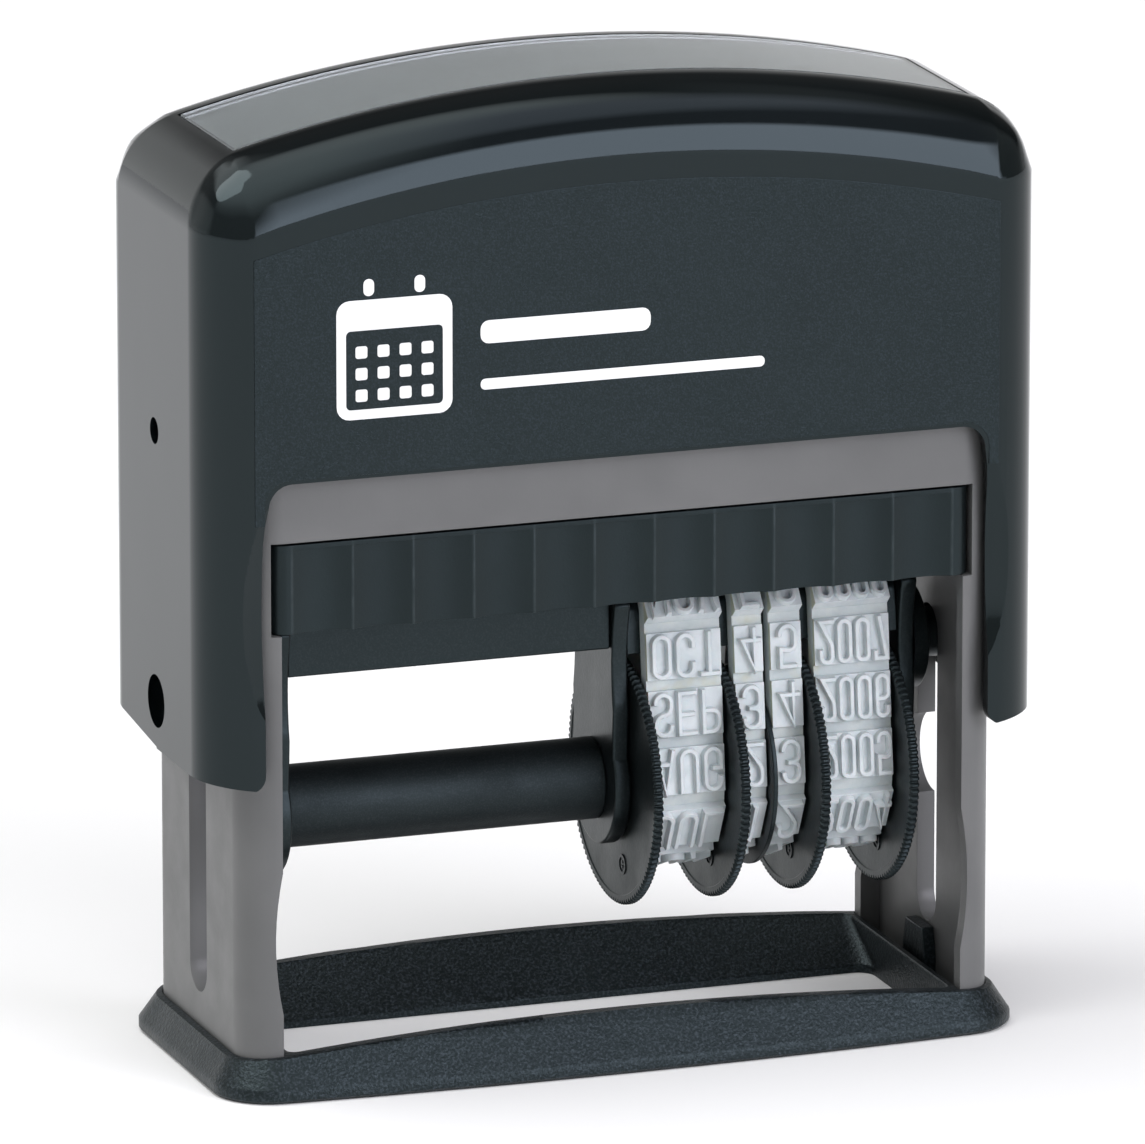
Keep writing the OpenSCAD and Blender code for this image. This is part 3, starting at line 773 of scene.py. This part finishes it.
def band_web(name, left, right):
    """Thin web round the whole loop."""
    steps = 132
    rings = []
    for i in range(steps):
        origin, out, _ = band_frame(HALF_LOOP * (2 * i / steps - 1))
        corners = ((left, 0), (left, GROOVE_FLOOR), (right, GROOVE_FLOOR), (right, 0))
        rings.append([origin + Vector((x, 0, 0)) + out * h for x, h in corners])
    obj = from_faces(name, *loft(rings), "band_web")
    tidy_mesh(obj.data, flatten=0)
    return obj


def block_place(k, middle):
    """Function that puts (u, v, h) on block k of the band whose middle is at X = middle."""
    s = k * BLOCK_PITCH if k <= BLOCKS // 2 else (k - BLOCKS) * BLOCK_PITCH
    origin, out, along = band_frame(s)
    return lambda u, v, h: origin + Vector((middle + u, 0, 0)) + along * v + out * h


def type_block(name, place, half):
    """Flat block sunk into the web, drawn in a little towards its top."""
    sunk, draft, side_share = BAND_WEB * 0.45, 0.08 * MM, 0.2
    corners = []
    for inset, h in ((0, sunk), (draft, BLOCK_TOP)):
        u, v = half - inset * side_share, BLOCK_HALF - inset
        corners += [place(-u, -v, h), place(u, -v, h), place(u, v, h), place(-u, v, h)]
    faces = [(0, 3, 2, 1), (4, 5, 6, 7)]
    faces += [(i, (i + 1) % 4, (i + 1) % 4 + 4, i + 4) for i in range(4)]
    block = from_faces(name, corners, faces, "band", "band_side")
    tidy_mesh(block.data, flatten=0)
    for face in block.data.polygons:
        face.material_index = 1 if abs(face.normal.x) > 0.9 else 0
    bevel(block, 0.07, 2)
    return block


def raised_label(name, place, half, label):
    """Raised characters of one label. Each further stroke of a character is a hair lower than the last."""
    end_margin, side_margin, gap, widest = 0.72 * MM, 0.25 * MM, 0.62 * MM, 1.35 * MM
    stroke, sunk, lower = 0.21 * MM, 0.1 * MM, 0.03 * MM
    foot_half, top_half = stroke * 1.15, stroke * 0.85
    height = 2 * BLOCK_HALF - end_margin
    pitch = (2 * half - side_margin) / len(label)
    width = min(pitch - gap, widest)
    points, faces = [], []
    for i, character in enumerate(label):
        left = (i - (len(label) - 1) / 2) * pitch - width / 2
        for n, (closed, outline) in enumerate(TYPE[character]):
            path = rounded_path(outline, closed, width, height)
            top = BLOCK_TOP + GLYPH_H - n * lower
            made, joined = stroke_solid(path, closed, foot_half, top_half, BLOCK_TOP - sunk, top)
            start = len(points)
            points += [place(left + u, v - height / 2, h) for u, v, h in made]
            faces += [tuple(start + f for f in face) for face in joined]
    glyphs = from_faces(name, points, faces, "band")
    tidy_mesh(glyphs.data, merge=1e-7, flatten=0)
    return glyphs


def type_band(name, node, labels):
    """One band: a thin web round the loop, and a flat block with raised type for each label."""
    low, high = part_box(node)
    middle, half = (low.x + high.x) / 2, (high.x - low.x) / 2
    parts = [band_web(name + "_web", low.x, high.x)]
    for k, label in enumerate(labels):
        place = block_place(k, middle)
        parts.append(type_block(f"{name}_block_{k}", place, half))
        if label:
            parts.append(raised_label(f"{name}_type_{k}", place, half, label))
    for part in parts:
        smooth(part, 40)
    return finish_piece(join(parts), "swing_unit", "band_rubber", node)


# ---- thumb wheels ----

FLANGE_T = 0.8 * MM
WHEEL_RECESS = 0.08 * MM


def mould_mark(face):
    """Small ring with two dots, moulded on the face of a flange that looks to -X."""
    y, z = -2.6 * MM, AXLE_Z - 6.9 * MM
    dot_step, dot_r = 0.2 * MM, 0.15 * MM
    ring = rod("mark", (y, z), 0.85 * MM, face - 0.1 * MM, face + 0.2 * MM, 32, "wheel")
    boolean(ring, rod("hollow", (y, z), 0.6 * MM, face - MM, face - 0.01 * MM, 32, "wheel"))
    parts = [ring]
    for dot_z in (z - dot_step, z + dot_step):
        parts.append(rod("mark", (y, dot_z), dot_r, face - 0.08 * MM, face + 0.1 * MM, 16, "wheel"))
    for part in parts:
        smooth(part)
    return parts


def thumb_wheel(name, node, body, flange_left):
    """Knurled flange with a rim, a hub and a small mould mark, and the drum inside the band."""
    low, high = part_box(node)
    radius = high.z - AXLE_Z
    bore_r, hub_r, drum_r = 1.55 * MM, 3.6 * MM, 5.5 * MM
    hub_slope, rim_slope = 0.15 * MM, 0.1 * MM
    rim_r = radius - 0.75 * MM
    x0, x1 = (low.x, low.x + FLANGE_T) if flange_left else (high.x - FLANGE_T, high.x)
    drum_end = high.x if flange_left else low.x
    near, far = (x0, x1) if flange_left else (x1, x0)
    teeth, tooth_depth, chamfer = 120, 0.26 * MM, 0.18 * MM
    tooth_profile = (1, 1, 0.45, 0.08, 0, 0.08, 0.45)
    toothed = [radius - tooth_depth * f for f in tooth_profile] * teeth
    chamfered = [r - chamfer for r in toothed]
    step = 1 if far > near else -1
    near_floor, far_floor = near + step * WHEEL_RECESS, far - step * WHEEL_RECESS

    def level(r):
        return [r] * len(toothed)

    def ring(x, radii):
        angles = [2 * math.pi * i / len(radii) for i in range(len(radii))]
        return [(x, r * math.sin(a), AXLE_Z + r * math.cos(a)) for r, a in zip(radii, angles)]

    profile = [
        (near, level(bore_r)), (near, level(hub_r)), (near_floor, level(hub_r + hub_slope)),
        (near_floor, level(rim_r - rim_slope)), (near, level(rim_r)), (near, chamfered),
        (near + step * chamfer, toothed), (far - step * chamfer, toothed),
        (far, chamfered), (far, level(rim_r)), (far_floor, level(rim_r - rim_slope)),
        (far_floor, level(drum_r)), (drum_end, level(drum_r)), (drum_end, level(bore_r)),
    ]
    wheel = from_faces(name, *loft([ring(x, radii) for x, radii in profile]), "wheel")
    tidy_mesh(wheel.data, merge=1e-8, flatten=0)
    smooth(wheel, 30)
    return finish_piece(join([wheel, *mould_mark(x0 + WHEEL_RECESS)]), body, "wheel_plastic", node)


# ---- foot ring ----

def bowed_outline(width, depth, bulge, corner, steps=8, side_steps=24):
    """Rounded rectangle whose long sides bow out, always with the same number of points."""
    half_w, half_d = width / 2, depth / 2
    points = []
    for sx, sy, start in ((1, -1, -90), (1, 1, 0), (-1, 1, 90), (-1, -1, 180)):
        points += arc((sx * (half_w - corner), sy * (half_d - corner)), corner, start, start + 90, steps)
        if sx * sy > 0:
            reach = half_w - corner
            points += [(sx * reach * (1 - 2 * i / side_steps), sy * half_d) for i in range(1, side_steps)]
    shaped = []
    for x, y in points:
        lift = bulge * (1 - (x / half_w) ** 2)
        shaped.append((x, y + math.copysign(lift, y) * min(abs(y) / half_d, 1)))
    return shaped


def foot_ring():
    """Ring lofted through its sections: base rim, outer slope, ridge, inner funnel and lip."""
    low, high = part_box("base_foot")
    width = round((high.x - low.x) / MM, 1)
    ridge_middle, arch_r = 4.8 * MM, 340 * MM
    level_below, slope_top, slope_share = 3.0, 4.6, 0.12
    # width, depth, bulge of the long sides, corner radius and height, in mm
    outside = [
        (56.8, 13.0, 0.0, 1.5, 0.0), (width - 0.6, 27.2, 1.4, 4.3, 0.0), (width, 27.8, 1.4, 4.5, 0.3),
        (width, 27.8, 1.4, 4.5, 1.0), (width - 0.35, 27.5, 1.35, 4.4, 1.25),
        (66.4, 25.4, 0.8, 3.9, 3.9), (65.8, 24.9, 0.75, 3.8, 4.35),
    ]
    # the same, with the height counted from the arch of the ridge
    crest = [(65.4, 24.3, 0.7, 3.6, 0.0), (57.4, 23.7, 0.0, 0.9, 0.0), (57.1, 23.2, 0.0, 0.9, -0.25)]
    # the same inside, counted from the desk again
    funnel = [(56.9, 13.4, 0.0, 1.6, 0.75), (56.8, 13.0, 0.0, 1.5, 0.55)]

    def ridge(x):
        return ridge_middle - arch_r + math.sqrt(arch_r ** 2 - x ** 2)

    def under_ridge(x, z):
        """Height z, kept below the ridge on the upper part of the slope."""
        if z > level_below:
            return min(z * MM, ridge(x) - (slope_top - z) * slope_share * MM)
        return z * MM

    def ring(section, height):
        outline = bowed_outline(*(size * MM for size in section[:4]))
        return [(x, y, height(x, section[4])) for x, y in outline]

    rings = [ring(section, under_ridge) for section in outside]
    rings += [ring(section, lambda x, rise: ridge(x) + rise * MM) for section in crest]
    rings += [ring(section, lambda x, z: z * MM) for section in funnel]
    obj = from_faces("foot_ring", *loft(rings), "foot")
    tidy_mesh(obj.data, flatten=0)
    # seats of the two legs, cut out of the ring
    leg_x, leg_y, leg_corner = 32.65 * MM, 12.4 * MM, 3.5 * MM
    gap_x, gap_y, gap_corner = 29.2 * MM, 20 * MM, 0.3 * MM
    leg = rounded_rectangle((-leg_x, -leg_y), (leg_x, leg_y), leg_corner)
    seat = extrusion("seat", leg, 1 * MM, 8 * MM, "Z")
    between = rounded_rectangle((-gap_x, -gap_y), (gap_x, gap_y), gap_corner)
    boolean(seat, extrusion("between", between, 0, 9 * MM, "Z"))
    boolean(obj, seat)
    tab_outline = [(-2.5, 0.9), (2.5, 0.9), (2.5, 3.6), (1.9, 5.9), (-1.9, 5.9), (-2.5, 3.6)]
    tab_inner, tab_outer = 29.85 * MM, 30.95 * MM
    tabs = []
    for side in (-1, 1):
        ends = sorted((side * tab_inner, side * tab_outer))
        tab = extrusion("tab", [(y * MM, z * MM) for y, z in tab_outline], *ends, "X", "foot")
        bevel(tab, 0.15, 2)
        smooth(tab)
        tabs.append(tab)
    tidy_mesh(obj.data, merge=2e-6, flatten=math.radians(0.02))
    bevel(obj, 0.18, 2, angle=45)
    smooth(obj, 40)
    return finish_piece(join([obj, *tabs]), "base", "foot_plastic", "base_foot")


# ---- spring ----

def return_spring():
    """Round wire coil with closed, flattened ends, standing on the frame's deck."""
    low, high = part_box("return_spring")
    wire = 0.4 * MM
    coil_r = high.x - wire
    base, top = low.z + wire, high.z - wire
    turns, per_turn, sides = 8.5, 40, 12
    count = int(turns * per_turn)
    points = []
    for i in range(count + 1):
        t = i / per_turn
        rise = min(max((t - 0.75) / (turns - 1.5), 0), 1)
        z = base + (top - base) * rise
        angle = 2 * math.pi * t
        for k in range(sides):
            turn = 2 * math.pi * k / sides
            r = coil_r + wire * math.cos(turn)
            points.append((r * math.cos(angle), r * math.sin(angle), z + wire * math.sin(turn)))
    faces = [tuple(range(sides)), tuple(count * sides + k for k in range(sides - 1, -1, -1))]
    for i in range(count):
        for k in range(sides):
            a, b = i * sides + k, i * sides + (k + 1) % sides
            faces.append((a, b, b + sides, a + sides))
    obj = from_faces("spring_coil", points, faces, "spring")
    tidy_mesh(obj.data, merge=1e-8, flatten=0)
    smooth(obj, 60)
    finish_piece(obj, "base", "spring_steel", "return_spring")
    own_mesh(obj)


# ---- printed mark ----

def printed_mark():
    """Plain calendar pictogram and two rules, printed in white on the front panel."""
    y = CASE_LOW.y - GRAIN_PROUD
    front, back = y - 0.03 * MM, y + 0.02 * MM
    x0, z0, size = -25.0 * MM, 56.4 * MM, 9.8 * MM
    parts = []

    def bar(low, high, radius):
        outline = rounded_rectangle(low, high, radius, 4)
        parts.append(extrusion("print", outline, front, back, "Y", "print_white"))

    line, header = 0.8 * MM, 2.5 * MM
    outer = rounded_rectangle((x0, z0), (x0 + size, z0 + size), 1.1 * MM, 5)
    inner = rounded_rectangle((x0 + line, z0 + line), (x0 + size - line, z0 + size - header), 0.4 * MM, 5)
    sides = ((front, outer), (front, inner), (back, inner), (back, outer))
    rings = [[(x, at, z) for x, z in outline] for at, outline in sides]
    calendar = from_faces("print", *loft(rings), "print_white")
    tidy_mesh(calendar.data, flatten=0)
    parts.append(calendar)
    # two binder rings
    ring_half, ring_low, ring_high = 0.45 * MM, z0 + size + 0.3 * MM, z0 + size + 1.7 * MM
    for i in range(2):
        ring_x = x0 + size * (0.28 + 0.44 * i)
        bar((ring_x - ring_half, ring_low), (ring_x + ring_half, ring_high), 0.42 * MM)
    # three rows of four days
    day_half = 0.5 * MM
    for row in range(3):
        for column in range(4):
            x = x0 + size * (0.215 + 0.19 * column)
            z = z0 + 1.95 * MM + 1.78 * MM * row
            bar((x - day_half, z - day_half), (x + day_half, z + day_half), 0.2 * MM)
    rule_x = x0 + size + 2.4 * MM
    bar((rule_x, z0 + 5.4 * MM), (rule_x + 14.5 * MM, z0 + 7.3 * MM), 0.7 * MM)
    bar((rule_x, z0 + 1.6 * MM), (rule_x + 24.3 * MM, z0 + 2.5 * MM), 0.4 * MM)
    return finish_piece(join(parts), "case", "case_plastic")


# ---- everything on the object ----

case_cover()
printed_mark()
foot_ring()
return_spring()

# the labels start at the print face and go round by the front; an empty one is a blank block
bands = {
    "month": ("month_band", MONTHS),
    "day_tens": ("day_tens_band", [str(6 - k) for k in range(7)] + ["", "", "", "9", "8", "7"]),
    "day_units": ("day_units_band", [str(7 - k) for k in range(8)] + ["", "", "", "9", "8"]),
    "year": ("year_band", [str(2009 - k if k < 7 else 2022 - k) for k in range(12)] + ["2010"]),
}
for band_name, (band_node, band_labels) in bands.items():
    type_band(band_name + "_type_band", band_node, band_labels)
for wheel_name, on_left in (("month", True), ("day_tens", True), ("day_units", False), ("year", False)):
    thumb_wheel(wheel_name + "_thumb_wheel", wheel_name + "_wheel", wheel_name + "_spinner", on_left)

# piece, CAD node, body, material, slot, rounding in mm, least angle in degrees of a rounded edge
COPIES = [
    ("frame_moulding", "lower_frame", "base", "frame", "frame_plastic", 0.3, 32),
    ("pad_cartridge", "ink_cartridge", "cartridge", "flutes", "cartridge_plastic", 0.25, 12),
    ("pad_insert", "ink_pad", "cartridge", "pad", "felt_pad", 0.25, 32),
    ("window_cover", "top_window", "case", "window", "clear_window", 0.18, 32),
    ("left_cheek_plate", "left_cheek", "swing_unit", "black", "unit_plastic", 0.22, 32),
    ("middle_cheek_plate", "middle_cheek", "swing_unit", "black", "unit_plastic", 0.22, 32),
    ("right_cheek_plate", "right_cheek", "swing_unit", "black", "unit_plastic", 0.22, 32),
    ("platen_bar", "text_platen", "swing_unit", "grip", "unit_plastic", 0.2, 32),
    ("text_plate", "text_die", "swing_unit", "die", "die_rubber", 0.12, 32),
    ("tube_sleeve", "spacer_tube", "swing_unit", "tube", "tube_plastic", 0.15, 32),
    ("axle_rod", "wheel_axle", "swing_unit", "steel", "axle_steel", 0.15, 32),
    ("bridge_bar", "band_bridge", "swing_unit", "black", "unit_plastic", 0.12, 32),
    ("divider_plate", "band_divider", "swing_unit", "black", "unit_plastic", 0.08, 32),
]
for piece, cad_node, cad_body, finish, piece_slot, rounding, bevel_angle in COPIES:
    copy = softened_copy(piece, cad_node, finish, rounding, bevel_angle)
    finish_piece(copy, cad_body, piece_slot, cad_node)

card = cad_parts["index_card"]
card.data.materials.clear()
card.data.materials.append(MATERIALS["card"])


# ---- floor, light and camera ----

def studio_floor():
    half = 4.0
    ground = -0.02 * MM
    points = [(-half, -half, ground), (half, -half, ground), (half, half, ground), (-half, half, ground)]
    n = Nodes("studio_floor")
    n.drive("Base Color", n.mix(n.noise(120, 2), (0.79, 0.79, 0.79), (0.82, 0.82, 0.82)))
    n.set(Roughness=0.75, Emission_Color=(1, 1, 1, 1), Emission_Strength=0.08)
    MATERIALS["floor"] = n.material
    from_faces("studio_floor", points, [(0, 1, 2, 3)], "floor")


def round_light(name, at, target, diameter, power, reflected=True):
    data = bpy.data.lights.new(name, "AREA")
    data.shape = "DISK"
    data.size = diameter
    data.energy = power
    obj = bpy.data.objects.new(name, data)
    obj.location = at
    obj.rotation_euler = (target - at).to_track_quat("-Z", "Y").to_euler()
    obj.visible_glossy = reflected
    bpy.context.scene.collection.objects.link(obj)


# brightness of the surroundings by height in degrees, in six directions around the object
SKY = {
    "front_left": [(0, 0.4), (22, 0.4), (36, 0.9), (50, 1.5), (60, 1.7), (72, 1.9), (90, 1.9)],
    "front": [(0, 4.0), (33, 4.0), (38, 0.3), (52, 0.3), (60, 1.1), (75, 1.2), (90, 1.4)],
    "front_right": [(0, 0.3), (40, 0.4), (60, 0.4), (90, 0.5)],
    "back_left": [(0, 1.0), (13, 0.8), (20, 0.7), (27, 0.3), (42, 0.3), (48, 1.6), (90, 1.6)],
    "back": [(0, 0.62), (5, 0.62), (9, 0.54), (12, 0.46), (16, 0.4), (20, 0.33), (24, 0.15), (30, 0.06),
             (66, 0.15), (74, 1.6), (90, 2.0)],
    "back_right": [(0, 0.62), (5, 0.62), (9, 0.5), (17, 0.08), (50, 0.1), (70, 0.5), (90, 0.6)],
}
SKY_PEAK = 4.0
COOL_SKY = (0.98, 0.96, 1.08)


def world_light():
    """Studio surroundings as bands of brightness, like softboxes and the dark between them."""
    world = bpy.data.worlds.new("studio")
    bpy.context.scene.world = world
    world.use_nodes = True
    tree = world.node_tree
    split = tree.nodes.new("ShaderNodeSeparateXYZ")
    tree.links.new(tree.nodes.new("ShaderNodeTexCoord").outputs["Generated"], split.inputs["Vector"])

    def heights(stops, tint=(1, 1, 1)):
        ramp = tree.nodes.new("ShaderNodeValToRGB")
        tree.links.new(split.outputs["Z"], ramp.inputs["Fac"])
        elements = ramp.color_ramp.elements
        elements[0].position = math.sin(math.radians(stops[0][0]))
        for height, _ in stops[1:-1]:
            elements.new(math.sin(math.radians(height)))
        for element, (_, level) in zip(sorted(elements, key=lambda e: e.position), stops):
            element.color = (*(level / SKY_PEAK * t for t in tint), 1)
        return ramp.outputs["Color"]

    def blend(axis, low, high, a, b):
        share = tree.nodes.new("ShaderNodeMapRange")
        share.inputs["From Min"].default_value, share.inputs["From Max"].default_value = low, high
        tree.links.new(split.outputs[axis], share.inputs["Value"])
        mix = tree.nodes.new("ShaderNodeMix")
        mix.data_type = "RGBA"
        tree.links.new(share.outputs["Result"], mix.inputs["Factor"])
        tree.links.new(a, mix.inputs[6])
        tree.links.new(b, mix.inputs[7])
        return mix.outputs[2]

    # from left to right in front, the same behind, and then front and back
    front = blend("X", 0.05, 0.22, heights(SKY["front_left"]), heights(SKY["front"], COOL_SKY))
    front = blend("X", 0.6, 0.74, front, heights(SKY["front_right"]))
    back = blend("X", -0.2, 0.05, heights(SKY["back_left"]), heights(SKY["back"]))
    back = blend("X", 0.35, 0.5, back, heights(SKY["back_right"]))
    tree.links.new(blend("Y", -0.12, 0.12, front, back), tree.nodes["Background"].inputs["Color"])
    tree.nodes["Background"].inputs["Strength"].default_value = SKY_PEAK


def photo_camera():
    """Long lens, a little above the stamp and to its left."""
    azimuth, elevation, lens_mm = -19.52, 14.49, 442.8
    standpoint = (-0.37291, -1.05142, 0.3268)
    data = bpy.data.cameras.new("camera")
    data.sensor_width = 36
    data.lens = lens_mm
    data.clip_start, data.clip_end = 0.1, 20
    obj = bpy.data.objects.new("camera", data)
    obj.location = standpoint
    obj.rotation_euler = Euler((math.radians(90 - elevation), 0, math.radians(azimuth)))
    bpy.context.scene.collection.objects.link(obj)
    bpy.context.scene.camera = obj


studio_floor()
world_light()
centre = (CAD_BOUNDS[0] + CAD_BOUNDS[1]) / 2
overhead = centre + 0.85 * Vector((-0.457, 0.034, 0.887))
round_light("key_softbox", overhead, centre, 0.66, 3.2)
round_light("front_fill", centre + Vector((1.0, -1.3, 0.8)), centre, 1.1, 9, reflected=False)
photo_camera()
bpy.context.scene.view_settings.view_transform = "Standard"
